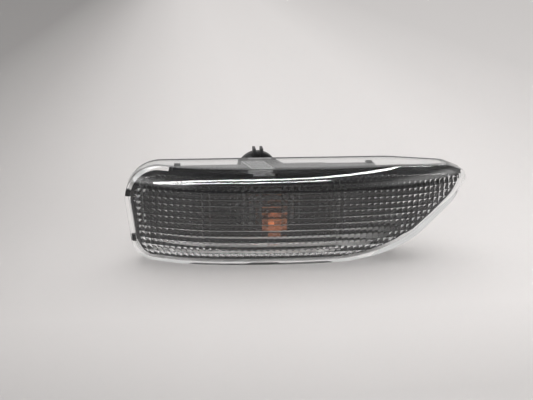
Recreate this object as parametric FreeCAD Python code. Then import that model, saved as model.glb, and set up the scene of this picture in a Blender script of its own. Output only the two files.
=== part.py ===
"""Side indicator lamp of a car.

A clear lens with pillow optics sits on a black housing, with an amber wedge bulb and its holder behind it.

Frame: X along the lamp towards its nose, Z up, the lens faces -Y.
The plane Y = 0 is the seat on the car's body panel.
All lengths are in millimetres. Outlines are given as seen from the front, in X and Z.
"""
import FreeCAD, Part
import math
import os

V = FreeCAD.Vector

# Lens outline: the sharp corners before rounding, clockwise from the lower left, and each corner's radius.
left_end = -60.2
foot_x = -56.4
top_edge = 17.9
bottom_edge = -16.4
shoulder_x = 30.5
slope_x = 50.5
slope_z = 16.4
nose_x = 59.1
nose_z = 12.9
knee_x = 53.7
knee_z = 4.4
heel_x = 38.5
heel_z = -7.3
toe_x = 21.8
lower_left_radius = 8.0
upper_left_radius = 12.0
shoulder_radius = 80.0
slope_radius = 12.0
nose_radius = 2.5
knee_radius = 14.0
heel_radius = 20.0
toe_radius = 55.0
least_radius = 0.5

# Lens front: a flat-browed section swept along a plan curve of three tangent arcs.
lens_depth = 17.5
crown_half_width = 28.0
crown_radius = 260.0
left_sweep_radius = 78.0
right_sweep_radius = 74.0
brow_radius = 16.0
flat_top = 8.4
flat_bottom = -5.0
side_wall = 2.0
front_wall = 2.2

# Pillow optics inside the lens front: one shallow four-sided pillow for each cell of a grid.
cell_width = 2.1
cell_height = 2.1
row_offset = -0.5
pillow_rise = 0.5
optic_margin = 1.2

# Housing bowl, whose lip is seen as a black ring through the lens.
lens_fit = 0.15
lip_depth = 2.0
bowl_inset = 3.9
bowl_wall = 1.3
rim_gap = 0.35
floor_thickness = 1.8
floor_recess = 0.3
nub_width = 2.1
nub_length = 2.0
nub_height = 1.0
nub_root = 0.7
left_nub_setback = 1.8
upper_nubs_x = (-41.5, 22.9)
upper_nub_setback = 5.2
tongue_back = 5.5
tongue_wall = 1.4
tongue_overrun = 1.6
left_nubs_z = (7.5, -8.0)
key_centre_x = -16.5
key_width = 7.5
key_skew = 5.9
key_depth = 1.3
key_fit = 0.2

# Rear body that passes through the panel, with a hook at one end and a snap finger at the other.
body_left = -36.0
body_right = 16.0
body_top = 9.0
body_bottom = -13.2
body_depth = 18.0
body_corner = 4.0
body_wall = 1.6
panel_gap = 1.6
hook_reach = 3.0
hook_depth = 3.0
hook_height = 10.0
finger_gap = 1.8
finger_thickness = 1.4
finger_height = 9.0
finger_bridge = 2.4
barb_reach = 1.8
barb_length = 4.0

# Bulb axis, and the turn-and-lock bulb holder on it.
axis_x = -9.3
axis_z = -2.4
bore_radius = 8.4
neck_radius = 8.1
collar_radius = 10.4
collar_height = 1.0
lug_radius = 9.6
lug_width = 5.0
lug_thickness = 1.8
lug_fit = 0.3
lug_turn = 45.0
seal_inner_radius = 8.6
seal_outer_radius = 10.2
seal_thickness = 1.4
flange_radius = 12.0
flange_thickness = 2.6
ear_radius = 7.4
ear_x = -12.4
ear_top = 14.2
neck_length = 9.0
tower_width = 13.0
tower_height = 7.4
tower_front = 3.0
rib_width = 1.0
rib_spacing = 2.7
rib_root = 1.5
rib_reach = 1.5
rib_thickness = 1.4
shroud_width = 16.0
shroud_height = 11.0
shroud_length = 19.0
shroud_wall = 1.5
shroud_corner = 2.0
shroud_floor = 3.0

# Wedge-base bulb.
bulb_radius = 5.1
bulb_tip = -11.5
glass_wall = 0.6
dome_turn = 66.0
wedge_start = 2.9
wedge_width = 9.6
wedge_thickness = 2.7
wedge_length = 8.0
wedge_fit = 0.15
filament_y = -4.0
filament_radius = 0.35
lead_half_width = 0.25
lead_offset = 2.6
lead_overrun = 0.6
lead_tab_thickness = 0.3
lead_tab_length = 3.0
blade_width = 2.8
blade_thickness = 0.8
blade_fit = 0.05
blade_front = 5.0
blade_end = 36.0


def box(x0, x1, y0, y1, z0, z1):
    return Part.makeBox(x1 - x0, y1 - y0, z1 - z0, V(x0, y0, z0))


def rod(radius, y0, y1, x=axis_x, z=axis_z):
    """A cylinder along Y, on the bulb axis unless told otherwise."""
    return Part.makeCylinder(radius, y1 - y0, V(x, y0, z), V(0, 1, 0))


# Outlines

corners = [
    (foot_x, bottom_edge, lower_left_radius),
    (left_end, top_edge, upper_left_radius),
    (shoulder_x, top_edge, shoulder_radius),
    (slope_x, slope_z, slope_radius),
    (nose_x, nose_z, nose_radius),
    (knee_x, knee_z, knee_radius),
    (heel_x, heel_z, heel_radius),
    (toe_x, bottom_edge, toe_radius),
]


def rounded_wire(points, radii, y):
    """Lines joined by tangent arcs, through the corners of a convex polygon in the plane at y."""
    sharp = [V(x, y, z) for x, z in points]
    count = len(sharp)
    arcs = []
    for i, corner in enumerate(sharp):
        back = (sharp[i - 1] - corner).normalize()
        ahead = (sharp[(i + 1) % count] - corner).normalize()
        half = back.getAngle(ahead) / 2
        inward = (back + ahead).normalize()
        reach = radii[i] / math.tan(half)
        depth = radii[i] / math.sin(half) - radii[i]
        arcs.append((corner + back * reach, corner + inward * depth, corner + ahead * reach))
    edges = []
    for i, (start, middle, end) in enumerate(arcs):
        edges.append(Part.Arc(start, middle, end).toShape())
        edges.append(Part.LineSegment(end, arcs[(i + 1) % count][0]).toShape())
    return Part.Wire(edges)


def lens_outline(inset, y):
    """The lens outline, drawn in by the same distance all round."""
    count = len(corners)
    sides = []
    for i in range(count):
        start = V(corners[i][0], 0, corners[i][1])
        end = V(corners[(i + 1) % count][0], 0, corners[(i + 1) % count][1])
        along = (end - start).normalize()
        sides.append((start + V(along.z, 0, -along.x) * inset, along))
    points = []
    for i in range(count):
        before, along = sides[i - 1]
        after, onward = sides[i]
        gap = after - before
        step = (gap.x * onward.z - gap.z * onward.x) / (along.x * onward.z - along.z * onward.x)
        points.append((before.x + along.x * step, before.z + along.z * step))
    return rounded_wire(points, [max(radius - inset, least_radius) for _, _, radius in corners], y)


def lens_prism(inset, y0, y1):
    return Part.Face(lens_outline(inset, y0)).extrude(V(0, y1 - y0, 0))


def rounded_rectangle(x0, x1, z0, z1, radius, y):
    return rounded_wire([(x0, z0), (x0, z1), (x1, z1), (x1, z0)], [radius] * 4, y)


rim_inset = side_wall + lens_fit
rim_top = top_edge - rim_inset
rim_bottom = bottom_edge + rim_inset
floor_back = -floor_recess
floor_front = floor_back - floor_thickness


def left_edge(z):
    """The leaning left side of the outline at a height."""
    return foot_x + (left_end - foot_x) * (z - bottom_edge) / (top_edge - bottom_edge)


# Front skin of the lens, and the same skin drawn in towards the back

crown_angle = math.asin(crown_half_width / crown_radius)
crown_arc = crown_radius * crown_angle
seam_y = -lens_depth + crown_radius * (1 - math.cos(crown_angle))
brow_share = 0.97
sweep_turn = 55.0
sweep_back = 45.0


def front_point(along, z, inset):
    """The point of the skin at a distance along the plan curve and a height, drawn in by inset."""
    if abs(along) <= crown_arc:
        turn = along / crown_radius
        x = crown_radius * math.sin(turn)
        y = -lens_depth + crown_radius * (1 - math.cos(turn))
    else:
        side = math.copysign(1, along)
        radius = right_sweep_radius if side > 0 else left_sweep_radius
        bend = crown_angle + (abs(along) - crown_arc) / radius
        x = side * (crown_half_width + radius * (math.sin(bend) - math.sin(crown_angle)))
        y = seam_y + radius * (math.cos(crown_angle) - math.cos(bend))
        turn = side * bend
    brow = brow_radius - inset
    over = max(z - flat_top, flat_bottom - z, 0)
    back = inset + brow - math.sqrt(brow * brow - over * over)
    return V(x - back * math.sin(turn), y + back * math.cos(turn), z)


def behind_front(inset, round_brow=True):
    """The solid behind the skin: one section turned about the three arcs of the plan curve.

    The brows are round, as on the lens, or the chords of them that end at the lip, as on the housing.
    """
    brow = brow_radius - inset
    skin = -lens_depth + inset
    rear = sweep_back - lens_depth
    if round_brow:
        reach_up = reach_down = brow_share
    else:
        reach_up = (rim_top + lens_fit - flat_top) / brow
        reach_down = (flat_bottom - rim_bottom + lens_fit) / brow

    def brow_line(flat, side, reach):
        """The brow from the flat's end outward, and its end point."""
        ends = []
        for share in (0, reach / 2, reach):
            z = flat + side * brow * share
            ends.append(V(0, skin + brow * (1 - math.sqrt(1 - share * share)), z))
        start, middle, end = ends
        line = Part.Arc(start, middle, end) if round_brow else Part.LineSegment(start, end)
        return line, start, end

    upper, upper_start, upper_end = brow_line(flat_top, 1, reach_up)
    lower, lower_start, lower_end = brow_line(flat_bottom, -1, reach_down)
    path = [
        Part.LineSegment(lower_start, upper_start),
        upper,
        Part.LineSegment(upper_end, V(0, rear, upper_end.z)),
        Part.LineSegment(V(0, rear, upper_end.z), V(0, rear, lower_end.z)),
        Part.LineSegment(V(0, rear, lower_end.z), lower_end),
        lower,
    ]
    section = Part.Face(Part.Wire([piece.toShape() for piece in path]))
    up = V(0, 0, 1)
    pivot = V(0, crown_radius - lens_depth, 0)
    degrees = math.degrees(crown_angle)
    left_section = section.rotated(pivot, up, -degrees)
    right_section = section.rotated(pivot, up, degrees)
    seam_in = V(0, math.cos(crown_angle), 0)
    lean = V(math.sin(crown_angle), 0, 0)
    left_pivot = V(-crown_half_width, seam_y, 0) + (seam_in + lean) * left_sweep_radius
    right_pivot = V(crown_half_width, seam_y, 0) + (seam_in - lean) * right_sweep_radius
    crown = left_section.revolve(pivot, up, 2 * degrees)
    left = left_section.revolve(left_pivot, up, -sweep_turn)
    right = right_section.revolve(right_pivot, up, sweep_turn)
    return crown.fuse([left, right])


# Pillow optics: a closed block whose front is the grid of pillows, used to hollow the lens


def pillow_block():
    half_length = max(nose_x, -left_end) + lens_depth / 3
    half_height = max(top_edge, -bottom_edge) - side_wall
    columns = 2 * math.ceil(half_length / cell_width)
    rows = 2 * math.ceil(half_height / cell_height)
    steps = [cell_width * (i - columns / 2) for i in range(columns + 1)]
    levels = [row_offset + cell_height * (j - rows / 2) for j in range(rows + 1)]
    grid = [[front_point(step, level, front_wall) for level in levels] for step in steps]
    field = Part.Face(lens_outline(side_wall + optic_margin, 0))
    inside = [[field.isInside(V(node.x, 0, node.z), 1e-3, True) for node in line] for line in grid]
    points = []
    number = {}

    def index(point):
        key = (round(point.x, 6), round(point.y, 6), round(point.z, 6))
        if key not in number:
            number[key] = len(points)
            points.append(point)
        return number[key]

    facets = []
    for i in range(columns):
        for j in range(rows):
            cell = [(i, j), (i + 1, j), (i + 1, j + 1), (i, j + 1)]
            a, b, c, d = [index(grid[m][n]) for m, n in cell]
            if all(inside[m][n] for m, n in cell):
                middle = (steps[i] + steps[i + 1]) / 2, (levels[j] + levels[j + 1]) / 2
                peak = index(front_point(*middle, front_wall + pillow_rise))
                facets += [(a, b, peak), (b, c, peak), (c, d, peak), (d, a, peak)]
            else:
                facets += [(a, b, c), (a, c, d)]
    border = [grid[i][0] for i in range(columns)]
    border += [grid[columns][j] for j in range(rows)]
    border += [grid[i][rows] for i in range(columns, 0, -1)]
    border += [grid[0][j] for j in range(rows, 0, -1)]
    rear = side_wall
    hub = index(V(0, rear, 0))
    for here, there in zip(border, border[1:] + border[:1]):
        a, b = index(here), index(there)
        c, d = index(V(here.x, rear, here.z)), index(V(there.x, rear, there.z))
        facets += [(b, a, c), (b, c, d), (d, c, hub)]
    skin = Part.Shape()
    skin.makeShapeFromMesh((points, facets), 1e-4)
    block = Part.Solid(Part.Shell(skin.Faces))
    if block.Volume < 0:
        block.reverse()
    return block


# Features shared by the lens and the housing's lip

def nubs(play):
    """The catches round the housing's lip, or with play the pockets for them in the lens."""
    half_width = nub_width / 2 + play
    half_length = nub_length / 2 + play
    height = nub_height + play
    made = []
    front, back = -upper_nub_setback - half_length, -upper_nub_setback + half_length
    for x in upper_nubs_x:
        made.append(box(x - half_width, x + half_width, front, back, rim_top - nub_root, rim_top + height))
    front, back = -left_nub_setback - half_length, -left_nub_setback + half_length
    for z in left_nubs_z:
        side = left_edge(z) + rim_inset
        made.append(box(side - height, side + nub_root, front, back, z - half_width, z + half_width))
    return made


def key_block(play):
    """The locating key under the lens's top wall, or with play the notch for it in the housing's lip."""
    half = key_width / 2 + play
    front = -lens_depth
    back = floor_front + play
    slant = key_skew * (back - front) / lens_depth
    plan = [
        V(key_centre_x - half, back, rim_top - key_depth - play),
        V(key_centre_x + half, back, rim_top - key_depth - play),
        V(key_centre_x + half + slant, front, rim_top - key_depth - play),
        V(key_centre_x - half + slant, front, rim_top - key_depth - play),
    ]
    height = key_depth + lens_fit + side_wall / 2 + play
    return Part.Face(Part.makePolygon(plan + plan[:1])).extrude(V(0, 0, height))


# Pieces


def make_lens():
    hollow = lens_prism(side_wall, -2 * lens_depth, side_wall).common(pillow_block())
    blank = lens_prism(0, -2 * lens_depth, 0).common(behind_front(0)).removeSplitter()
    lens = blank.cut(hollow)
    pockets = [pocket.common(lens_prism(side_wall / 4, -lens_depth, 0)) for pocket in nubs(lens_fit)]
    lens = lens.cut(pockets)
    key = key_block(0).common(behind_front(front_wall / 2))
    return lens.fuse(key)


def make_rear_body():
    """The hollow box behind the seat, with its inside returned apart."""

    def shell(inset, front, back):
        wire = rounded_rectangle(
            body_left + inset,
            body_right - inset,
            body_bottom + inset,
            body_top - inset,
            body_corner - inset,
            front,
        )
        return Part.Face(wire).extrude(V(0, back - front, 0))

    outside = shell(0, floor_front, body_depth)
    inside = shell(body_wall, floor_front - floor_thickness, body_depth - body_wall)
    return outside, inside


def bayonet(radius, width, y0, y1, turn):
    """Two opposite radial lugs on the bulb axis, turned about it."""
    bar = box(axis_x - radius, axis_x + radius, y0, y1, axis_z - width / 2, axis_z + width / 2)
    bar = bar.common(rod(radius, y0, y1))
    return bar.rotated(V(axis_x, 0, axis_z), V(0, 1, 0), turn)


def make_housing():
    front = behind_front(front_wall + pillow_rise + rim_gap, round_brow=False)
    hollow = lens_prism(bowl_inset + bowl_wall, -2 * lens_depth, floor_front)
    bowl = lens_prism(bowl_inset, -2 * lens_depth, floor_back).cut(hollow).common(front)
    lip = lens_prism(rim_inset, -2 * lens_depth, floor_back).cut(hollow).common(front)
    lip = lip.cut(front.translated(V(0, lip_depth, 0)))
    tongue = lens_prism(rim_inset, -2 * lens_depth, -tongue_back).common(front)
    tongue = tongue.common(
        box(
            upper_nubs_x[0] - tongue_overrun,
            upper_nubs_x[1] + tongue_overrun,
            -2 * lens_depth,
            -tongue_back,
            rim_top - tongue_wall,
            top_edge,
        )
    )
    outside, inside = make_rear_body()
    hook = box(
        body_left - hook_reach,
        body_left + body_wall,
        panel_gap,
        panel_gap + hook_depth,
        -hook_height / 2,
        hook_height / 2,
    )
    finger_in = body_right + finger_gap
    finger_out = finger_in + finger_thickness
    low, high = -finger_height / 2, finger_height / 2
    finger = box(finger_in, finger_out, panel_gap, body_depth, low, high)
    bridge = box(body_right - body_wall, finger_out, body_depth - finger_bridge, body_depth, low, high)
    barb = Part.Face(
        Part.makePolygon(
            [
                V(finger_out, panel_gap, low),
                V(finger_out + barb_reach, panel_gap, low),
                V(finger_out, panel_gap + barb_length, low),
                V(finger_out, panel_gap, low),
            ]
        )
    ).extrude(V(0, 0, finger_height))
    collar = rod(collar_radius, body_depth - body_wall, body_depth + collar_height)
    solid = bowl.fuse([lip, tongue, outside, hook, finger, bridge, barb, collar] + nubs(0))
    passage = rod(bore_radius, body_depth - 2 * body_wall, body_depth + 2 * collar_height)
    gates = bayonet(
        lug_radius + lug_fit,
        lug_width + 2 * lug_fit,
        body_depth - 2 * body_wall,
        body_depth + 2 * collar_height,
        lug_turn,
    )
    return solid.cut([inside, passage, gates, key_block(key_fit)]).removeSplitter()


wall_inner = body_depth - body_wall
seal_back = body_depth + collar_height + seal_thickness
flange_back = seal_back + flange_thickness
wedge_end = wedge_start + wedge_length
slot_end = wedge_end + 2 * lead_tab_thickness


def make_blade(side):
    """A contact strip beside the wedge, running back to stand as a blade in the connector."""
    x = axis_x + side * lead_offset
    low = wedge_thickness / 2 if side < 0 else -wedge_thickness / 2 - blade_thickness
    half = blade_width / 2
    return box(x - half, x + half, blade_front, blade_end, axis_z + low, axis_z + low + blade_thickness)


def blade_slot(side):
    blade = make_blade(side).BoundBox
    return box(
        blade.XMin - blade_fit,
        blade.XMax + blade_fit,
        blade.YMin - blade_fit,
        blade.YMax,
        blade.ZMin - blade_fit,
        blade.ZMax + blade_fit,
    )


def make_holder():
    tower = box(
        axis_x - tower_width / 2,
        axis_x + tower_width / 2,
        tower_front,
        seal_back,
        axis_z - tower_height / 2,
        axis_z + tower_height / 2,
    )
    neck = rod(neck_radius, seal_back - neck_length, seal_back)
    flange = rod(flange_radius, seal_back, flange_back)
    ear = rod(ear_radius, seal_back, flange_back, x=ear_x, z=ear_top - ear_radius)
    lugs = bayonet(lug_radius, lug_width, wall_inner - lug_thickness, wall_inner, 0)
    ribs = []
    for side in (-1, 1):
        centre = ear_x + side * rib_spacing / 2
        ribs.append(
            box(
                centre - rib_width / 2,
                centre + rib_width / 2,
                seal_back - rib_thickness,
                flange_back,
                ear_top - rib_root,
                ear_top + rib_reach,
            )
        )

    def shroud(inset, y0, y1):
        wide, high = shroud_width / 2 - inset, shroud_height / 2 - inset
        wire = rounded_rectangle(
            axis_x - wide, axis_x + wide, axis_z - high, axis_z + high, shroud_corner - inset, y0
        )
        return Part.Face(wire).extrude(V(0, y1 - y0, 0))

    mouth = flange_back + shroud_length
    solid = tower.fuse([neck, flange, ear, lugs, shroud(0, seal_back, mouth)] + ribs)
    socket = shroud(shroud_wall, flange_back + shroud_floor, mouth + shroud_wall)
    half_wide = wedge_width / 2 + wedge_fit
    half_thick = wedge_thickness / 2 + wedge_fit
    slot = box(
        axis_x - half_wide,
        axis_x + half_wide,
        tower_front - 1,
        slot_end,
        axis_z - half_thick,
        axis_z + half_thick,
    )
    return solid.cut([socket, slot, blade_slot(-1), blade_slot(1)]).removeSplitter()


def make_seal():
    return rod(seal_outer_radius, seal_back - seal_thickness, seal_back).cut(
        rod(seal_inner_radius, seal_back - seal_thickness - 1, seal_back + 1)
    )


def make_lead(side):
    """A lead wire, drawn square: straight through the wedge, then folded flat on its contact's side."""
    x = axis_x + side * lead_offset
    away = 1 if side < 0 else -1
    face = axis_z + away * wedge_thickness / 2
    wire = box(
        x - lead_half_width,
        x + lead_half_width,
        filament_y - lead_overrun,
        wedge_end,
        axis_z - lead_half_width,
        axis_z + lead_half_width,
    )
    inner = axis_z - away * lead_half_width
    foot = box(
        x - lead_half_width,
        x + lead_half_width,
        wedge_end,
        wedge_end + lead_tab_thickness,
        min(inner, face),
        max(inner, face),
    )
    groove = face - away * lead_tab_thickness
    tab = box(
        x - lead_half_width,
        x + lead_half_width,
        wedge_end - lead_tab_length,
        wedge_end + lead_tab_thickness,
        min(groove, face),
        max(groove, face),
    )
    return wire.fuse([foot, tab])


def bulb_body(radius, tip, end):
    """A round body on the bulb axis, with one bevel standing for its dome."""
    centre = tip + radius
    turn = math.radians(dome_turn)
    flat_y = centre - radius * math.sin(turn)
    profile = [
        V(axis_x, end, axis_z),
        V(axis_x + radius, end, axis_z),
        V(axis_x + radius, centre, axis_z),
        V(axis_x + radius * math.cos(turn), flat_y, axis_z),
        V(axis_x, flat_y, axis_z),
    ]
    outline = Part.Face(Part.makePolygon(profile + profile[:1]))
    return outline.revolve(V(axis_x, 0, axis_z), V(0, 1, 0), 360)


def make_glass():
    half_wide, half_thick = wedge_width / 2, wedge_thickness / 2
    envelope = bulb_body(bulb_radius, bulb_tip, wedge_start)
    inside = bulb_body(bulb_radius - glass_wall, bulb_tip + glass_wall, wedge_start - glass_wall)
    wedge = box(
        axis_x - half_wide,
        axis_x + half_wide,
        wedge_start - glass_wall,
        wedge_end,
        axis_z - half_thick,
        axis_z + half_thick,
    )
    return envelope.fuse(wedge).cut([inside, make_lead(-1), make_lead(1)]).removeSplitter()


def make_filament():
    reach = lead_offset - lead_half_width
    return Part.makeCylinder(filament_radius, 2 * reach, V(axis_x - reach, filament_y, axis_z), V(1, 0, 0))


pieces = {
    "outer_lens": make_lens,
    "rear_housing": make_housing,
    "bulb_holder": make_holder,
    "holder_seal": make_seal,
    "contact_left": lambda: make_blade(-1),
    "contact_right": lambda: make_blade(1),
    "bulb_glass": make_glass,
    "bulb_filament": make_filament,
    "bulb_lead_left": lambda: make_lead(-1),
    "bulb_lead_right": lambda: make_lead(1),
}

os.makedirs("parts", exist_ok=True)
for node, make in pieces.items():
    shape = make()
    solids = shape.Solids
    state = "valid" if shape.isValid() else "NOT VALID"
    print(node, state, len(solids), "solid", round(shape.Volume, 1), "mm3")
    (solids[0] if len(solids) == 1 else shape).exportStep(f"parts/{node}.step")
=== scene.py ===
# %% [markdown]
# # A car's side indicator lamp
# The lamp is a clear, tray-shaped lens on a black housing, with an amber bulb behind a grid of small pillow lenses.
# The packed solids give every piece its size and place, in metres: X runs to the pointed nose, Z is up and the lens
# faces -Y. This lesson keeps that frame and gives each piece the finish and the fine form that the photograph shows.

# %% The frame that all pieces share
import math

import bmesh
import bpy
from mathutils import Matrix, Vector


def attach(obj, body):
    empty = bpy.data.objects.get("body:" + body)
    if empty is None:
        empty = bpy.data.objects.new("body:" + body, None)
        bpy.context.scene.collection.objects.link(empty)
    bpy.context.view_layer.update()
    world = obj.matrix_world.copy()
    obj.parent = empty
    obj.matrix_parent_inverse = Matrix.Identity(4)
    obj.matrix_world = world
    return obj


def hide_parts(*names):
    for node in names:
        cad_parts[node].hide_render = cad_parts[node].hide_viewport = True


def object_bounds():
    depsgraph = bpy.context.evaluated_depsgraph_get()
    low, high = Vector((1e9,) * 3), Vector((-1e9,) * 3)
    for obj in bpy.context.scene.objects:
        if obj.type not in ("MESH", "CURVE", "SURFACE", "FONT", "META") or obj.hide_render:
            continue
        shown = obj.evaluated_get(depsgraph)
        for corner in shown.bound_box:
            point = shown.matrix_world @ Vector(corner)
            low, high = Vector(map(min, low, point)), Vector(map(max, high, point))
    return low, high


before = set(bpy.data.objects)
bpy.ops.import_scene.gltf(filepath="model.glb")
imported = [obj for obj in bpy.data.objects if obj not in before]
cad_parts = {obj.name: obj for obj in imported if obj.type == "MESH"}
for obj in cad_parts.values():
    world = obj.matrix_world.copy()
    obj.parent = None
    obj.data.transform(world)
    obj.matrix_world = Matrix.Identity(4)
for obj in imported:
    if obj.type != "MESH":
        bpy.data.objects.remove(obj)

cad_low, cad_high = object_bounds()
mm = 0.001
print("box of the solids in mm:", [round((b - a) / mm, 1) for a, b in zip(cad_low, cad_high)])


# %% An object of the scene
def placed(name, data):
    """Puts a mesh, a curve, a light or a camera into the scene under a name."""
    piece = bpy.data.objects.new(name, data)
    bpy.context.scene.collection.objects.link(piece)
    return piece


print("pieces found in the frame:", ", ".join(sorted(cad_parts)))

# %% [markdown]
# ## Writing shader maths as plain expressions
# A finish is a tree of nodes. Wiring one by hand hides the thought behind it, so a socket is wrapped in a small class
# whose operators add the Math nodes, and one method adds any other node. The steps that come up again and again, such
# as a fine grain or a soft change between two values, get a method of their own.


# %% A socket that can be added, subtracted and multiplied
class Tone:
    """A node's output that takes part in sums."""

    def __init__(self, finish, socket):
        self.finish, self.socket = finish, socket

    def __add__(self, other):
        return self.finish.maths("ADD", self, other)

    def __sub__(self, other):
        return self.finish.maths("SUBTRACT", self, other)

    def __rsub__(self, other):
        return self.finish.maths("SUBTRACT", other, self)

    def __mul__(self, other):
        return self.finish.maths("MULTIPLY", self, other)

    __radd__, __rmul__ = __add__, __mul__


print("a socket can be used with + - and *")

# %% A finish: one material or world, its nodes and what they feed
mix_factor, mix_first, mix_second, mix_colour = 0, 6, 7, 2  # the colour sockets of a Mix node


class Finish:
    def __init__(self, name, world=False):
        self.block = (bpy.data.worlds if world else bpy.data.materials).new(name)
        self.block.use_nodes = True
        self.tree = self.block.node_tree
        self.tree.nodes.clear()
        self.end = self.tree.nodes.new("ShaderNodeOutputWorld" if world else "ShaderNodeOutputMaterial")

    def node(self, kind, settings=None, sockets=None, out=0):
        """Any node: its type, its settings, which are set first, and the values or links of its sockets."""
        made = self.tree.nodes.new(kind)
        for name, value in (settings or {}).items():
            if name == "stops":
                ramp = made.color_ramp
                while len(ramp.elements) < len(value):
                    ramp.elements.new(0.5)
                for stop, (place, shade) in zip(ramp.elements, value):
                    stop.position, stop.color = place, shade
            else:
                setattr(made, name, value)
        for name, value in (sockets or {}).items():
            if isinstance(value, Tone):
                self.tree.links.new(value.socket, made.inputs[name])
            else:
                made.inputs[name].default_value = value
        return Tone(self, made.outputs[out])

    def maths(self, operation, first, second=0.0):
        return self.node("ShaderNodeMath", {"operation": operation}, {0: first, 1: second})

    def surface(self, shader):
        self.tree.links.new(shader.socket, self.end.inputs["Surface"])
        return self.block

    def principled(self, sockets):
        return self.surface(self.node("ShaderNodeBsdfPrincipled", None, sockets))

    def place(self):
        return self.node("ShaderNodeTexCoord", out="Object")

    def along(self, axis):
        return self.node("ShaderNodeSeparateXYZ", None, {0: self.place()}, out=axis)

    def grain(self, scale, detail):
        sockets = {"Vector": self.place(), "Scale": scale, "Detail": detail}
        return self.node("ShaderNodeTexNoise", {"noise_dimensions": "3D"}, sockets, out="Fac")

    def relief(self, height, strength, distance):
        sockets = {"Height": height, "Strength": strength, "Distance": distance}
        return self.node("ShaderNodeBump", None, sockets, out="Normal")

    def ease(self, value, start, end, low=0.0, high=1.0):
        sockets = {"Value": value, "From Min": start, "From Max": end, "To Min": low, "To Max": high}
        return self.node("ShaderNodeMapRange", {"interpolation_type": "SMOOTHSTEP"}, sockets)

    def blend(self, factor, first, second, way="MIX"):
        settings = {"data_type": "RGBA", "blend_type": way}
        sockets = {mix_factor: factor, mix_first: first, mix_second: second}
        return self.node("ShaderNodeMix", settings, sockets, out=mix_colour)


print("a finish knows", ", ".join(name for name in vars(Finish) if not name.startswith("_")))

# %% [markdown]
# ## The lens's outline and its front skin
# Seen from the front, the lens is a long outline with a blunt end and a pointed nose. Its skin bends back at both ends
# and over the upper and lower brow. Both could be taken from the solid's mesh, but its facets would show in a polished
# surface. So the outline and the skin are worked out again from the values that the solid was made from, and the finer
# lens made here lies exactly where the solid one does.

# %% The outline's corners, each with its radius, as arcs
corners = [
    (-56.4, -16.4, 8.0),
    (-60.2, 17.9, 12.0),
    (30.5, 17.9, 80.0),
    (50.5, 16.4, 12.0),
    (59.1, 12.9, 2.5),
    (53.7, 4.4, 14.0),
    (38.5, -7.3, 20.0),
    (21.8, -16.4, 55.0),
]


def unit(x, z):
    length = math.hypot(x, z)
    return x / length, z / length


def corner_arcs():
    """The rounded corners: centre, radius, first angle and the angle turned."""
    arcs = []
    for i, (x, z, radius) in enumerate(corners):
        before, after = corners[i - 1], corners[(i + 1) % len(corners)]
        bx, bz = unit(before[0] - x, before[1] - z)
        ax, az = unit(after[0] - x, after[1] - z)
        half = math.acos(bx * ax + bz * az) / 2
        ix, iz = unit(ax + bx, az + bz)
        cx, cz = x + ix * radius / math.sin(half), z + iz * radius / math.sin(half)
        reach = radius / math.tan(half)
        start = math.atan2(z + bz * reach - cz, x + bx * reach - cx)
        arcs.append((cx, cz, radius, start, 2 * half - math.pi))
    return arcs


arcs = corner_arcs()
print("corners turn by", [round(math.degrees(-turn)) for *_, turn in arcs], "degrees")


# %% Points round the outline
def lens_edge(arc_step=4.0, line_step=1.2):
    """Points round the lens, clockwise from the front, each with the normal that points inward."""
    samples = []
    for i, (cx, cz, radius, start, turn) in enumerate(arcs):
        count = max(3, math.ceil(max(math.degrees(-turn) / arc_step, -turn * radius / line_step)))
        for k in range(count + 1):
            angle = start + turn * k / count
            out_x, out_z = math.cos(angle), math.sin(angle)
            samples.append((cx + radius * out_x, cz + radius * out_z, -out_x, -out_z))
        next_x, next_z, next_radius, next_start, _ = arcs[(i + 1) % len(arcs)]
        end_x = next_x + next_radius * math.cos(next_start)
        end_z = next_z + next_radius * math.sin(next_start)
        x, z, in_x, in_z = samples[-1]
        count = math.ceil(math.hypot(end_x - x, end_z - z) / line_step)
        for k in range(1, count):
            samples.append((x + (end_x - x) * k / count, z + (end_z - z) * k / count, in_x, in_z))
    return samples


edge = lens_edge()
edge_x = [x for x, *_ in edge]
print("lens outline:", len(edge), "points,", round(max(edge_x) - min(edge_x), 1), "mm long")

# %% The skin: three tangent arcs in plan, a flat middle with round brows in section
lens_depth, crown_half, crown_radius = 17.5, 28.0, 260.0
sweep_radius = {-1: 78.0, 1: 74.0}
brow_radius, brow_limit = 16.0, 0.999
flat_top, flat_bottom = 8.4, -5.0
crown_angle = math.asin(crown_half / crown_radius)
crown_arc = crown_radius * crown_angle
seam_y = -lens_depth + crown_radius * (1 - math.cos(crown_angle))


def plan(along):
    """The plan curve at a distance along it: x, y and the angle it has turned."""
    if abs(along) <= crown_arc:
        turn = along / crown_radius
        return crown_radius * math.sin(turn), -lens_depth + crown_radius * (1 - math.cos(turn)), turn
    side = 1 if along > 0 else -1
    radius = sweep_radius[side]
    bend = crown_angle + (abs(along) - crown_arc) / radius
    x = side * (crown_half + radius * (math.sin(bend) - math.sin(crown_angle)))
    return x, seam_y + radius * (math.cos(crown_angle) - math.cos(bend)), side * bend


def skin(along, z, inset=0.0):
    """A point of the skin, drawn in towards the back by inset."""
    x, y, turn = plan(along)
    brow = brow_radius - inset
    over = min(max(z - flat_top, flat_bottom - z, 0.0), brow_limit * brow)
    back = inset + brow - math.sqrt(brow * brow - over * over)
    return x - back * math.sin(turn), y + back * math.cos(turn), z


print("the skin's crown turns by", round(math.degrees(2 * crown_angle), 1), "degrees from end to end")

# %% The skin's depth at a point of the outline, found by halving
search_reach, halvings = 90.0, 40


def along_at(x, z, inset=0.0):
    """The distance along the plan curve at which the skin passes through x, at a height."""
    low, high = -search_reach, search_reach
    for _ in range(halvings):
        middle = (low + high) / 2
        if skin(middle, z, inset)[0] < x:
            low = middle
        else:
            high = middle
    return (low + high) / 2


def skin_y(x, z, inset=0.0):
    return skin(along_at(x, z, inset), z, inset)[1]


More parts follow.
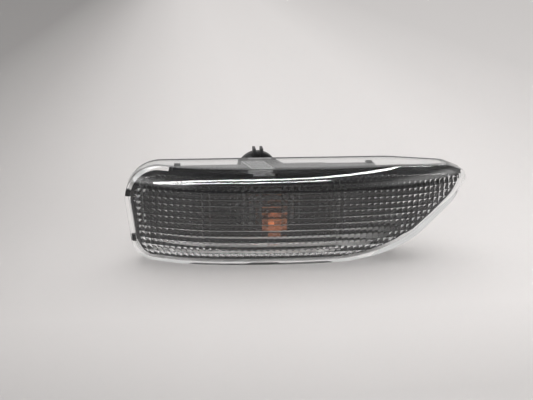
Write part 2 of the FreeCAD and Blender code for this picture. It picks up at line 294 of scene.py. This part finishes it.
print("skin at the middle, left end and nose:", [round(skin_y(x, z), 2) for x, z in ((0, 0), (-57, 0), (57, 12))])

# %% [markdown]
# ## The outside of the lens
# A lens of this kind is one moulding, polished outside. Its front edge is rounded, and that narrow round catches the
# light all the way along. A bevel on a coarse mesh would wander there, so the outside is laid out in columns: each
# starts at the back of the wall, climbs over the round and runs along the skin to a line in the middle. Columns side by
# side give loops that follow the outline, and the round stays even.

# %% Wall, rounded edge and skin, column by column
side_wall, front_wall = 2.0, 2.2
edge_round, round_steps = 0.45, 6
slope_step = 0.2
near_insets = (1.2, 2.2)
spine_loops, spine_crowding = 26, 0.9
spine_step, spine_left, spine_right = 1.5, -43.5, 40.5
spine_z, spine_lift, lift_start = 0.6, 5.5, 12


def spine_point(x):
    """The point of the middle line that a column runs to. The line lifts towards the nose."""
    sx = min(max(spine_step * round(x / spine_step), spine_left), spine_right)
    return sx, spine_z + spine_lift * max(0.0, (sx - lift_start) / (spine_right - lift_start)) ** 2


def edge_column(x, z, nx, nz):
    crest = skin_y(x, z)
    lean = math.atan((crest - skin_y(x + slope_step * nx, z + slope_step * nz)) / slope_step)
    crease = math.pi / 2 - lean
    shoulder = crest + edge_round * math.tan(crease / 2)
    column = [(x, 0.0, z), (x, shoulder / 2, z), (x, shoulder, z)]
    for k in range(1, round_steps + 1):
        turn = crease * k / round_steps
        inward = edge_round * (1 - math.cos(turn))
        column.append((x + nx * inward, shoulder - edge_round * math.sin(turn), z + nz * inward))
    for inset in near_insets:
        near_x, near_z = x + nx * inset, z + nz * inset
        column.append((near_x, skin_y(near_x, near_z), near_z))
    spine_x, spine_height = spine_point(near_x)
    for k in range(1, spine_loops + 1):
        share = (k / spine_loops) ** spine_crowding
        px, pz = near_x + (spine_x - near_x) * share, near_z + (spine_height - near_z) * share
        column.append((px, skin_y(px, pz), pz))
    return column


loops = list(zip(*(edge_column(*point) for point in edge)))
print("outside of the lens:", len(loops), "loops of", len(loops[0]), "points")

# %% [markdown]
# ## The pillow grid inside
# Behind the polished front sits a grid of small pillow lenses that spread the bulb's light. In the photograph they
# turn the dark inside into rows of dots and bars. A bump in the material would not bend the light as they do, so they
# are real geometry: a fine grid in which each cell bulges both ways. The grid ends at a line drawn in from the edge,
# past which the inside is smooth, and points beyond the wall are drawn back onto it.

# %% Regions of the lens seen from the front, each inside a line drawn in from the edge
fine_arc, fine_line = 3.0, 0.25


class Region:
    """The area inside a line that runs at one distance within the lens's outline."""

    def __init__(self, inset):
        self.line = [(x + nx * inset, z + nz * inset) for x, z, nx, nz in lens_edge(fine_arc, fine_line)]
        self.crossings = {}

    def holds(self, x, z):
        if z not in self.crossings:
            pairs = zip(self.line, self.line[1:] + self.line[:1])
            self.crossings[z] = [
                ax + (z - az) * (bx - ax) / (bz - az) for (ax, az), (bx, bz) in pairs if (az > z) != (bz > z)
            ]
        return sum(c > x for c in self.crossings[z]) % 2 == 1


# the second margin bounds the band near the wall whose outer pillows get a painted highlight
optic_margin, highlight_margin = 1.5, 4.2
wall_region = Region(side_wall)
optic_region = Region(side_wall + optic_margin)
highlight_free = Region(side_wall + highlight_margin)
print("regions:", [len(r.line) for r in (wall_region, optic_region, highlight_free)], "points")

# %% The grid: each cell bulges across and up
cell_width, cell_height, row_offset = 2.1, 2.1, -0.5
rise_across, rise_up = 0.2, 0.3
columns_each_way, rows_each_way = 31, 8
stops = (0.0, 0.05, 0.2, 0.35, 0.5, 0.65, 0.8, 0.95)
parts = len(stops)


def pillow_grid():
    """Points of the inner skin, those within the wall and those that a pillow raises."""
    points, kept, raised = {}, set(), set()
    for i in range(-columns_each_way * parts, columns_each_way * parts + 1):
        for j in range(-rows_each_way * parts, rows_each_way * parts + 1):
            (column, si), (row, sj) = divmod(i, parts), divmod(j, parts)
            a, b = 2 * stops[si] - 1, 2 * stops[sj] - 1
            along, z = (column + stops[si]) * cell_width, row_offset + (row + stops[sj]) * cell_height
            rise = rise_across * (1 - a * a) + rise_up * (1 - b * b)
            point = skin(along, z, front_wall + rise)
            if optic_region.holds(point[0], z):
                raised.add((i, j))
            else:
                point = skin(along, z, front_wall)
            points[i, j] = point
            if wall_region.holds(point[0], z):
                kept.add((i, j))
    return points, kept, raised


grid_points, grid_kept, grid_raised = pillow_grid()
print("inside of the lens:", len(grid_raised) // parts**2, "pillows,", len(grid_kept), "points within the wall")

# %% The painted highlight: whitish corners of the outermost pillows
# where in each outer cell the whitish painted highlight sits
highlight_left, highlight_right, highlight_low, highlight_high, highlight_reach = 1, 3, 4, 6, 2
highlight_top = 11


def painted_highlight_corner(i, j):
    """Whether a patch of the grid is on a corner of one of the outermost pillows that gets the painted highlight."""
    x, _, z = grid_points[i, j]
    si, sj = i % parts, j % parts
    in_corner = highlight_left <= si <= highlight_right and highlight_low <= sj <= highlight_high
    outer_half = (highlight_right - si) + (sj - highlight_low) >= highlight_reach
    return in_corner and outer_half and (i, j) in grid_raised and z < highlight_top and not highlight_free.holds(x, z)


print("painted highlight patches:", sum(painted_highlight_corner(i, j) for i, j in grid_points))

# %% [markdown]
# ## The key, the bead and the closed moulding
# Under the top wall sits a locating key with etched faces, and along the back of that wall runs a black sealing bead
# that is left out behind the key. The bead could be a piece of its own, but it is pressed flat into the seat, so its
# strip of the lens's back is marked with a finish instead. The key is a small block with rounded edges that runs on the
# slant, as the real one does. Outside, pillow grid and inner wall are then joined into one closed skin, because light
# bends rightly only in a closed body.

# %% The locating key under the top wall
key_top, key_depth, key_half, key_rear, key_front = 15.87, 1.4, 3.75, -2.1, -10.4
key_x, key_slant, key_round = -16.5, 5.9, 0.15
# the second slot holds the etched key and the painted highlight on the outer pillows
clear_slot, key_and_highlight_slot, bead_slot, break_slot = range(4)
key_faces = ((0, 1, 2, 3), (7, 6, 5, 4), (0, 4, 5, 1), (1, 5, 6, 2), (2, 6, 7, 3), (3, 7, 4, 0))


def key_centre(y):
    return key_x + key_slant * (key_rear - y) / lens_depth


def add_key(work):
    block = []
    for z in (key_top - key_depth, key_top):
        for y, side in ((key_rear, -1), (key_rear, 1), (key_front, 1), (key_front, -1)):
            block.append(work.verts.new(Vector((key_centre(y) + side * key_half, y, z)) * mm))
    made = [work.faces.new([block[n] for n in face]) for face in key_faces]
    bmesh.ops.recalc_face_normals(work, faces=made)
    key_edges = list(dict.fromkeys(e for face in made for e in face.edges))
    rounding = bmesh.ops.bevel(work, geom=key_edges, offset=key_round * mm, segments=2, affect="EDGES")
    for face in made + rounding["faces"]:
        if face.is_valid:
            face.material_index = key_and_highlight_slot


print("key:", 2 * key_half, "mm wide,", key_rear - key_front, "mm deep")

# %% The sealing bead on the back of the top wall
bead_left, bead_right, bead_low = -43.5, 58.0, 12.5
bead_break = (-17.6, -9.9)
back_tolerance = 0.01


def mark_bead(work):
    """Marks the back of the top wall: a black bead, and a matt grey break behind the key."""
    for face in work.faces:
        middle = face.calc_center_median() / mm
        if middle.y > -back_tolerance and middle.z > bead_low and bead_left < middle.x < bead_right:
            face.material_index = break_slot if bead_break[0] < middle.x < bead_break[1] else bead_slot


print("bead from", bead_left, "to", bead_right, "mm, open at", bead_break)

# %% The skins of the lens
merge_distance = 2e-6


def add_outside(work):
    rings = [[work.verts.new(Vector(p) * mm) for p in loop] for loop in loops]
    count = len(rings[0])
    for ring, further in zip(rings, rings[1:]):
        for k in range(count):
            following = (k + 1) % count
            work.faces.new((ring[k], ring[following], further[following], further[k]))
    bmesh.ops.remove_doubles(work, verts=rings[-1], dist=merge_distance)


def add_inside(work):
    """The pillow grid, with points past the wall drawn back onto its line."""
    verts = {}

    def corner(key):
        if key not in verts:
            x, y, z = grid_points[key]
            if key not in grid_kept:
                x, z = min(wall_region.line, key=lambda w: (w[0] - x) ** 2 + (w[1] - z) ** 2)
                y = skin_y(x, z, front_wall)
            verts[key] = work.verts.new(Vector((x, y, z)) * mm)
        return verts[key]

    front = []
    for i, j in grid_points:
        cell = [(i, j), (i + 1, j), (i + 1, j + 1), (i, j + 1)]
        if all(c in grid_points for c in cell) and any(c in grid_kept for c in cell):
            front.append(work.faces.new([corner(c) for c in reversed(cell)]))
            # corner patches of the outer pillows get the whitish painted highlight
            front[-1].material_index = key_and_highlight_slot if painted_highlight_corner(i, j) else clear_slot
    bmesh.ops.remove_doubles(work, verts=list(verts.values()), dist=merge_distance)
    return [face for face in front if face.is_valid]


def add_wall(work, front):
    """The inner wall, drawn from the grid's edge to the back, and the strip that joins it to the outside."""
    rim = list(dict.fromkeys(e for face in front for e in face.edges if e.is_boundary))
    for drawn in bmesh.ops.extrude_edge_only(work, edges=rim)["geom"]:
        if isinstance(drawn, bmesh.types.BMVert):
            drawn.co.y = 0.0
    bmesh.ops.triangle_fill(work, edges=[e for e in work.edges if e.is_boundary], use_beauty=True)
    bmesh.ops.recalc_face_normals(work, faces=work.faces)


print("skins of the lens meet within", merge_distance / mm, "mm")

# %% Smooth shading, with edges kept sharp where they turn by more than an angle
lens_smooth, moulding_smooth, bulb_smooth = 42, 32, 50


def smooth_by_angle(piece, degrees):
    for face in piece.data.polygons:
        face.use_smooth = True
    work = bmesh.new()
    work.from_mesh(piece.data)
    for e in work.edges:
        if len(e.link_faces) == 2 and e.calc_face_angle() > math.radians(degrees):
            e.smooth = False
    work.to_mesh(piece.data)
    work.free()


print("smooth up to", lens_smooth, "degrees on the lens,", bulb_smooth, "on the bulb")


# %% One closed moulding
def make_lens():
    work = bmesh.new()
    add_outside(work)
    add_wall(work, add_inside(work))
    mark_bead(work)
    add_key(work)
    mesh = bpy.data.meshes.new("clear_lens")
    work.to_mesh(mesh)
    open_edges = sum(not e.is_manifold for e in work.edges)
    work.free()
    print("clear lens:", len(mesh.polygons), "faces,", open_edges, "edges that don't join two faces")
    return placed("clear_lens", mesh)


clear_lens = make_lens()
smooth_by_angle(clear_lens, lens_smooth)

# %% [markdown]
# ## Rounded mouldings from the solids
# Real mouldings never have knife edges, and it is the small round along an edge that catches the light. The housing
# and the bulb holder already have the right forms, and to model them again would only risk a drift from the solids. So
# each is copied, its flat faces are merged and its edges are rounded by a bevel.

# %% A copy of a solid with its edges rounded
flat_limit, bevel_limit, weld_distance = 0.5, 35, 1e-6
housing_round, holder_round = 0.18, 0.22


def rounded(node, name, radius):
    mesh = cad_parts[node].data.copy()
    mesh.materials.clear()
    work = bmesh.new()
    work.from_mesh(mesh)
    bmesh.ops.remove_doubles(work, verts=work.verts, dist=weld_distance)
    bmesh.ops.dissolve_limit(work, angle_limit=math.radians(flat_limit), verts=work.verts, edges=work.edges)
    work.to_mesh(mesh)
    work.free()
    piece = placed(name, mesh)
    bevel = piece.modifiers.new("edge round", "BEVEL")
    bevel.width, bevel.segments = radius * mm, 2
    bevel.limit_method, bevel.angle_limit = "ANGLE", math.radians(bevel_limit)
    bevel.miter_outer = "MITER_ARC"
    shaped = piece.evaluated_get(bpy.context.evaluated_depsgraph_get())
    made = bpy.data.meshes.new_from_object(shaped)
    piece.modifiers.clear()
    piece.data = made
    made.name = name
    smooth_by_angle(piece, moulding_smooth)
    print(name, len(made.polygons), "faces after rounding")
    return piece


housing = rounded("rear_housing", "black_housing", housing_round)
holder = rounded("bulb_holder", "turn_lock_holder", holder_round)

# %% [markdown]
# ## Painted light on the lower wall of the bowl
# Low in the lens the photograph shows a band of pale stripes: the pillows repeat the bowl's lower inner wall, which
# takes the light from above. It is the same moulding as the black bowl, so no piece is added. Its faces are picked out
# by their place inside the outline and by the way they look, and further down that light is painted onto them.

# %% Picking out the wall's faces
bowl_inset, bowl_tolerance = 5.2, 0.2
bowl_front, bowl_rear = -14, -2.2
facing_up = 0.85
# the second slot carries the painted light on the bowl's lower wall
black_slot, painted_light_slot = range(2)


def mark_lit_wall():
    """Marks the lower inner wall of the bowl, which lies at one distance inside the lens's outline, for its painted
    light.
    """
    outline = Region(0.0).line
    marked = 0
    for face in housing.data.polygons:
        x, y, z = face.center / mm
        if bowl_front < y < bowl_rear and face.normal.z > facing_up:
            from_edge = min(math.hypot(x - ex, z - ez) for ex, ez in outline)
            if abs(from_edge - bowl_inset) < bowl_tolerance:
                # these faces get painted light in place of the black plastic
                face.material_index = painted_light_slot
                marked += 1
    return marked


print("bowl wall:", mark_lit_wall(), "faces")

# %% [markdown]
# ## The amber wedge bulb
# The bulb is a small glass tube with a round end, pinched flat at its base, with a coiled wire inside. A single skin
# would look like solid glass. So the glass is turned about the bulb's axis in two skins, an outer and an inner one,
# and light bends at both as in real glass.

# %% A profile and the skin turned from it
axis_x, axis_z = -9.3, -2.4
bulb_radius, bulb_tip, glass_wall, wedge_start = 5.1, -11.0, 0.6, 2.9
shoulder_step, shoulder_in, shoulder_rise = 1.2, 0.35, 0.3


def turned(work, profile, steps=64):
    """A closed skin turned about the bulb's axis from a profile of radius and y."""
    rings = []
    for radius, y in profile:
        angles = [2 * math.pi * k / steps for k in range(steps)] if radius else [0.0]
        points = [(axis_x + radius * math.cos(a), y, axis_z + radius * math.sin(a)) for a in angles]
        rings.append([work.verts.new(Vector(p) * mm) for p in points])
    for near, far in zip(rings, rings[1:]):
        for k in range(steps):
            following = k + 1
            patch = near[k % len(near)], near[following % len(near)], far[following % len(far)], far[k % len(far)]
            work.faces.new(list(dict.fromkeys(patch)))
    bmesh.ops.recalc_face_normals(work, faces=work.faces)


def dome(radius, tip, end, steps=14):
    """The half profile of a tube with a round tip and a rounded shoulder at its base."""
    centre = tip + radius
    profile = [(0, tip)]
    for k in range(1, steps + 1):
        angle = math.pi / 2 * k / steps
        profile.append((radius * math.sin(angle), centre - radius * math.cos(angle)))
    profile += [(radius, (centre + end) / 2), (radius, end - shoulder_step)]
    return profile + [(radius - shoulder_in, end - shoulder_rise), (radius - shoulder_step, end), (0, end)]


print("bulb profile:", len(dome(bulb_radius, bulb_tip, wedge_start)), "points")

# %% The glass in two skins, and its flat wedge base
wedge_width, wedge_length, wedge_thick, wedge_middle, wedge_round = 9.6, 8.6, 2.7, 6.6, 0.4


def make_bulb():
    mesh = bpy.data.meshes.new("amber_bulb")
    inner = bmesh.new()
    turned(inner, dome(bulb_radius - glass_wall, bulb_tip + glass_wall, wedge_start - glass_wall))
    bmesh.ops.reverse_faces(inner, faces=inner.faces)
    inner.to_mesh(mesh)
    inner.free()
    work = bmesh.new()
    turned(work, dome(bulb_radius, bulb_tip, wedge_start))
    work.from_mesh(mesh)
    wedge = bmesh.ops.create_cube(work, size=1.0)["verts"]
    for v in wedge:
        x, y, z = axis_x + wedge_width * v.co.x, wedge_middle + wedge_length * v.co.y, axis_z + wedge_thick * v.co.z
        v.co = Vector((x, y, z)) * mm
    wedge_edges = list(dict.fromkeys(e for v in wedge for e in v.link_edges))
    bmesh.ops.bevel(work, geom=wedge_edges, offset=wedge_round * mm, segments=3, affect="EDGES")
    work.to_mesh(mesh)
    work.free()
    piece = placed("amber_bulb", mesh)
    smooth_by_angle(piece, bulb_smooth)
    return piece


bulb = make_bulb()
print("bulb:", len(bulb.data.polygons), "faces")

# %% [markdown]
# ## The filament
# The filament is a fine coil of wire between two leads. A screw modifier on a circle would do, but a curve with a round
# bevel needs only the points of the coil's middle line, so it is drawn as one and turned into a mesh.

# %% The coiled filament between its lead wires
coil_length, coil_y = 4.7, -4.0


def make_filament(turns=16, coil=0.3, wire=0.05, steps=14):
    curve = bpy.data.curves.new("coil", "CURVE")
    curve.dimensions = "3D"
    curve.bevel_depth, curve.bevel_resolution = wire * mm, 2
    spline = curve.splines.new("POLY")
    count = turns * steps
    spline.points.add(count)
    for k in range(count + 1):
        angle = 2 * math.pi * k / steps
        x = axis_x - coil_length / 2 + coil_length * k / count
        point = Vector((x, coil_y + coil * math.cos(angle), axis_z + coil * math.sin(angle))) * mm
        spline.points[k].co = (*point, 1.0)
    drawn = placed("coil", curve)
    mesh = bpy.data.meshes.new_from_object(drawn.evaluated_get(bpy.context.evaluated_depsgraph_get()))
    bpy.data.objects.remove(drawn)
    mesh.name = "filament_coil"
    for face in mesh.polygons:
        face.use_smooth = True
    return placed("filament_coil", mesh)


filament = make_filament()
print("filament:", len(filament.data.polygons), "faces")

# %% [markdown]
# ## Clear acrylic
# The lens is clear acrylic, polished by its mould: it bends light and shows the room in its skin. A Glass shader could
# do that, and so does the Principled shader with full transmission, which is used. Its reflection is set below the
# plain value, because in the photograph the dark inside shows almost undimmed.

# %% The lens's plastic
clear = Finish("clear acrylic").principled({
    "Base Color": (0.985, 0.99, 0.99, 1.0),
    "Roughness": 0.012,
    "IOR": 1.49,
    "Specular IOR Level": 0.22,
    "Transmission Weight": 1.0,
})
print("finish:", clear.name)

# %% [markdown]
# ## Etched acrylic, and a painted highlight
# The key comes from a matt part of the mould, so it scatters light and looks whitish. The corners of the outermost
# pillows get the same whitish plastic as a painted highlight, where those pillows shine bright. Real bumps that fine
# would only add noise, so a rough, half clear plastic stands for them. A noise moves its roughness a little, because
# an etched face is never quite even.


# %% The key's plastic, which also paints the highlight on the outer pillows
def key_and_highlight_acrylic():
    finish = Finish("matt acrylic with painted highlight")
    return finish.principled({
        "Base Color": (0.9, 0.9, 0.9, 1.0),
        "Roughness": finish.grain(3000.0, 3.0) * 0.2 + 0.45,
        "IOR": 1.49,
        "Transmission Weight": 0.5,
    })


key_and_highlight_finish = key_and_highlight_acrylic()
print("finish:", key_and_highlight_finish.name)

# %% [markdown]
# ## Moulded plastics and rubber
# Housing, holder and seal are moulded from black or dark grey stock with a faint texture from the mould. One function
# serves them all: a fine grain moves the roughness and raises the surface a little, and a broad one shifts the shade.
# The housing lies behind the lens and reflects very little there, so its shine is the lowest.

# %% One function for all of them
broad_ratio, relief_distance = 14, 0.00005
roughness_spread = 0.14
darkest, lightest = 0.85, 1.2


def moulded(name, colour, roughness, grain_scale, relief, shine=0.5):
    finish = Finish(name)
    fine = finish.grain(grain_scale, 3.0)
    broad = finish.grain(grain_scale / broad_ratio, 2.0)
    dark, light = ((*(c * share for c in colour), 1.0) for share in (darkest, lightest))
    print("finish:", name)
    return finish.principled({
        "Base Color": finish.blend(broad, dark, light),
        "Roughness": fine * roughness_spread + (roughness - roughness_spread / 2),
        "Specular IOR Level": shine,
        "Normal": finish.relief(fine, relief, relief_distance),
    })


black = moulded("black housing plastic", (0.008, 0.008, 0.009), 0.45, 2600.0, 0.12, 0.1)
grey = moulded("grey holder plastic", (0.034, 0.034, 0.036), 0.5, 2200.0, 0.15, 0.35)
rubber = moulded("black seal rubber", (0.02, 0.02, 0.02), 0.75, 1800.0, 0.2)
matt_break = moulded("matt back of the key", (0.26, 0.26, 0.26), 0.6, 2600.0, 0.1)

# %% [markdown]
# ## Painted light on the bowl's lower wall
# In the photograph the stripes low in the lens are pale on the left and die out towards the nose. A light could make
# that, but it would also wash out the dark bowl above. So that light is painted into the wall's colour instead: a pale
# shade that fades along X, from pale to black.


# %% Painted light: a pale shade that darkens towards the nose
def painted_light_wall(fade_start=0.006, fade_end=0.034):
    finish = Finish("bowl wall with painted light")
    # painted light: pale where the wall takes light, fading to black towards the nose
    painted_fade = finish.ease(finish.along("X"), fade_start, fade_end)
    return finish.principled({
        "Base Color": finish.blend(painted_fade, (0.62, 0.60, 0.59, 1.0), (0.03, 0.03, 0.03, 1.0)),
        "Roughness": finish.grain(2600.0, 3.0) * roughness_spread + 0.4,
    })


painted_light_finish = painted_light_wall()
print("finish:", painted_light_finish.name)

# %% [markdown]
# ## Lacquered amber glass
# The bulb's glass is dipped in amber lacquer. Clear orange glass would vanish against the black bowl, but lacquer sends
# part of the light straight back. A blend of metal and clear glass gives that glow, and a slow noise keeps the dipped
# coat uneven in shade and gloss.


# %% The bulb's coat
def amber_glass():
    finish = Finish("amber lacquered glass")
    patch = finish.grain(900.0, 2.0)
    return finish.principled({
        "Base Color": finish.blend(patch, (0.52, 0.15, 0.045, 1.0), (0.66, 0.24, 0.09, 1.0)),
        "Metallic": 0.6,
        "Roughness": patch * 0.08 + 0.08,
        "IOR": 1.5,
        "Transmission Weight": 0.9,
    })


amber = amber_glass()
print("finish:", amber.name)

# %% [markdown]
# ## Metals
# The contacts are stamped from brass, the filament is tungsten and the leads are a pale wire. Stamping and drawing
# leave fine streaks, so a noise moves the roughness of each about its middle value.

# %% Brass, tungsten and lead wire
streak_spread = 0.2


def drawn_metal(name, colour, roughness, scale):
    finish = Finish(name)
    print("finish:", name)
    return finish.principled({
        "Base Color": (*colour, 1.0),
        "Metallic": 1.0,
        "Roughness": finish.grain(scale, 3.0) * streak_spread + (roughness - streak_spread / 2),
    })


brass = drawn_metal("stamped brass", (0.72, 0.55, 0.29), 0.32, 1500.0)
tungsten = drawn_metal("tungsten wire", (0.32, 0.31, 0.30), 0.45, 4000.0)
lead_wire = drawn_metal("lead wire", (0.62, 0.60, 0.57), 0.3, 4000.0)

# %% [markdown]
# ## Dressing the pieces
# A finer piece takes the place of its solid, which is hidden, rides on the same body and gets its finish in a slot.
# The seal, the contacts and the leads are fine as solids and only get their finish.


# %% Finish, body and material slot of every piece
def dress(piece, finish, stands_for=None):
    if piece.data.materials:
        piece.data.materials.clear()
    piece.data.materials.append(finish)
    if stands_for:
        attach(piece, "root")
        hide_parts(stands_for)


dress(clear_lens, clear, "outer_lens")
# this finish serves the etched key and the painted highlight on the outer pillows
for finish in (key_and_highlight_finish, rubber, matt_break):
    clear_lens.data.materials.append(finish)
dress(housing, black, "rear_housing")
# the lower wall's faces take the painted light
housing.data.materials.append(painted_light_finish)
dress(holder, grey, "bulb_holder")
dress(bulb, amber, "bulb_glass")
dress(filament, tungsten, "bulb_filament")
for node, finish in (
    ("holder_seal", rubber),
    ("contact_left", brass),
    ("contact_right", brass),
    ("bulb_lead_left", lead_wire),
    ("bulb_lead_right", lead_wire),
):
    dress(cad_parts[node], finish)
print("dressed", len(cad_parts), "nodes")

# %% [markdown]
# ## The floor, with painted shade
# The lamp stands on its lower edge on a pale sheet. The light on it is greyer to the left and dims a little towards
# the near edge. Lamps placed for that would also change the lens, so that shade is painted into the sheet's colour:
# one ramp of painted shade from side to side, multiplied by one from front to back.

# %% Painted shade of the sheet
def pale(level):
    return (level, level * 0.985, level * 0.98, 1.0)


# painted shade: darker to the left and a little at the right, where less light falls
painted_side_shade = [
    (0.0, pale(0.29)),
    (0.18, pale(0.30)),
    (0.28, pale(0.45)),
    (0.36, pale(0.63)),
    (0.44, pale(0.75)),
    (0.5, pale(0.79)),
    (0.66, pale(0.79)),
    (0.77, pale(0.72)),
    (0.95, pale(0.66)),
]
# painted shade: dimmer towards the near edge, where less light falls
painted_near_shade = [(0.08, pale(0.78)), (0.35, pale(0.86)), (0.62, pale(0.94)), (0.89, pale(1.0))]
print("tones:", len(painted_side_shade), "from side to side,", len(painted_near_shade), "from front to back")

# %% The sheet
side_scale, side_middle = 1.6, 0.5
near_scale, near_shift = 18.0, 1.7
sheet_radius, sheet_gap = 3.0, 0.0001


def shaded_sheet_finish():
    finish = Finish("pale sheet with painted shade")
    across = finish.along("X") * side_scale + side_middle
    away = finish.along("Y") * near_scale + near_shift
    side = finish.node("ShaderNodeValToRGB", {"stops": painted_side_shade}, {"Fac": across})
    near = finish.node("ShaderNodeValToRGB", {"stops": painted_near_shade}, {"Fac": away})
    return finish.principled({
        # the sheet's pale colour times both ramps of painted shade
        "Base Color": finish.blend(1.0, side, near, "MULTIPLY"),
        "Roughness": 0.7,
        "Specular IOR Level": 0.08,
    })


def make_floor():
    work = bmesh.new()
    bmesh.ops.create_circle(work, cap_ends=True, cap_tris=False, segments=96, radius=sheet_radius)
    for v in work.verts:
        v.co.z = cad_low[2] - sheet_gap
    mesh = bpy.data.meshes.new("floor")
    work.to_mesh(mesh)
    work.free()
    mesh.materials.append(shaded_sheet_finish())
    piece = placed("floor", mesh)
    return piece


floor = make_floor()
print("floor at z", round(cad_low[2] / mm, 2), "mm")

# %% [markdown]
# ## Soft light from all round
# The photograph looks as if taken in a soft white tent. An image of a room could light the scene, but only plain nodes
# are used here: the world is bright above, dimmer behind, and has two broad panels high on either side of the camera
# that light the pillows near both ends. The camera itself sees one pale tone.

# %% The tent
backdrop = 0.62


def make_tent():
    finish = Finish("white tent", world=True)
    way = finish.node("ShaderNodeTexCoord", out="Generated")
    across, away, up = (finish.node("ShaderNodeSeparateXYZ", None, {0: way}, out=axis) for axis in "XYZ")
    above = finish.ease(up, 0.35, 0.75, 0.0, 0.9)
    behind = finish.ease(away, -0.35, 0.45, 0.08, backdrop)
    in_front = finish.ease(away, -0.45, -0.05, 1.0, 0.0)
    raised = finish.ease(up, 0.06, 0.2) * finish.ease(up, 0.24, 0.42, 1.0, 0.06)
    panels = finish.ease(finish.maths("ABSOLUTE", across), 0.3, 0.65, 0.2, 3.0)
    light = above * (1 - in_front) + behind + in_front * raised * panels
    seen = finish.node("ShaderNodeLightPath", out="Is Camera Ray")
    strength = light * (1 - seen) + seen * backdrop
    finish.surface(finish.node("ShaderNodeBackground", None, {"Color": (1.0, 0.99, 0.98, 1.0), "Strength": strength}))
    bpy.context.scene.world = finish.block


make_tent()
print("world:", bpy.context.scene.world.name)

# %% [markdown]
# ## The highlight along the brow
# A long thin highlight runs along the upper brow and climbs towards the nose. It is the mirror image of a bright tube,
# and on a curved skin a straight tube gives a curve of its own. So a chain of short area lights follows the path whose
# image is that curve, and a second, fainter chain further out gives the soft line below it. Both show only in mirror
# images, because their light through the lens would lay a haze over the dark bowl.

# %% The long thin lights
strip_path = [
    (-810, -749),
    (-216, -474),
    (-38, -420),
    (59, -382),
    (101, -350),
    (136, -299),
    (158, -255),
    (182, -167),
    (200, -60),
    (212, 50),
    (218, 160),
]
strip_height, strip_width, strip_reach, strip_radiance = 0.25, 0.034, 0.48, 50.0
lower_spread, lower_count, lower_share = 1.35, 5, 0.7


def strip(name, first, last, share):
    """One short area light that looks down, wider the further out it hangs."""
    length = (last - first).length
    width = strip_width * (first + last).length / 2 / strip_reach
    light = bpy.data.lights.new(name, "AREA")
    light.shape, light.size, light.size_y = "RECTANGLE", length, width
    light.energy = share * strip_radiance * math.pi * length * width
    lamp = placed(name, light)
    along, up = (last - first).normalized(), Vector((0, 0, 1))
    lamp.matrix_world = Matrix((along, up.cross(along), up)).transposed().to_4x4()
    lamp.location = (first + last) / 2
    lamp.visible_camera = lamp.visible_diffuse = lamp.visible_transmission = False


def strip_run(name, path, share=1.0):
    points = [Vector((x * mm, y * mm, strip_height)) for x, y in path]
    for k, (first, last) in enumerate(zip(points, points[1:])):
        strip(f"{name} {k + 1}", first, last, share)
    print(name, "in", len(points) - 1, "lengths")


strip_run("strip", strip_path)
strip_run("lower strip", [(lower_spread * x, lower_spread * y) for x, y in strip_path[:lower_count]], lower_share)

# %% [markdown]
# ## Light on the floor
# Light that falls through a clear lens still reaches the floor below it, but a renderer finds such paths only slowly
# and leaves a dark shadow there. So one broad soft light is linked to the floor alone, and the clear lens doesn't block
# it. It keeps out of mirror images.

# %% The fill light
fill_place, fill_size, fill_radiance = (0.0, -0.35, 0.9), 0.8, 1.0


def fill_light():
    light = bpy.data.lights.new("fill", "AREA")
    light.shape, light.size = "SQUARE", fill_size
    light.energy = fill_radiance * math.pi * fill_size * fill_size
    lamp = placed("fill", light)
    lamp.location = fill_place
    lamp.rotation_euler = (math.atan2(-fill_place[1], fill_place[2]), 0.0, 0.0)
    lamp.visible_camera = lamp.visible_glossy = lamp.visible_transmission = False
    lit, passed = (bpy.data.collections.new(name) for name in ("lit by the fill", "passed by the fill"))
    lit.objects.link(floor)
    passed.objects.link(clear_lens)
    passed.collection_objects[0].light_linking.link_state = "EXCLUDE"
    lamp.light_linking.receiver_collection, lamp.light_linking.blocker_collection = lit, passed


fill_light()

# %% [markdown]
# ## The camera
# The photograph was taken from a little to the left and above, with the camera slightly rolled and the lamp off the
# middle of the picture. The camera's turn is built from three directions, right, up and back, and the lens shift moves
# the lamp in the picture without turning the camera again.

# %% The camera, at the photograph's angle
azimuth, elevation, roll = math.radians(-9.0), math.radians(20.0), math.radians(1.6)
distance, view_angle = 0.25, math.radians(40.0)
target = Vector((-2.55, -6.0, 1.2)) * mm
image_width, image_height, seen_x, seen_y = 533, 400, 294.0, 209.0

flat = math.cos(elevation)
back = Vector((math.sin(azimuth) * flat, -math.cos(azimuth) * flat, math.sin(elevation)))
level_right = Vector((math.cos(azimuth), math.sin(azimuth), 0))
right = level_right * math.cos(roll) + back.cross(level_right) * math.sin(roll)

camera_data = bpy.data.cameras.new("camera")
camera_data.sensor_fit = "HORIZONTAL"
camera_data.angle = view_angle
camera_data.shift_x = -(seen_x - image_width / 2) / image_width
camera_data.shift_y = (seen_y - image_height / 2) / image_width
camera_data.clip_start = 0.01
camera = placed("camera", camera_data)
camera.matrix_world = Matrix((right, back.cross(right), back)).transposed().to_4x4()
camera.location = target + back * distance
bpy.context.scene.camera = camera
bpy.context.scene.view_settings.view_transform = "Standard"
print("camera at", [round(c / mm) for c in camera.location], "mm")

# %% [markdown]
# ## Sizes
# The finer pieces must lie in the box of the solids, or the lamp would no longer fit its opening.
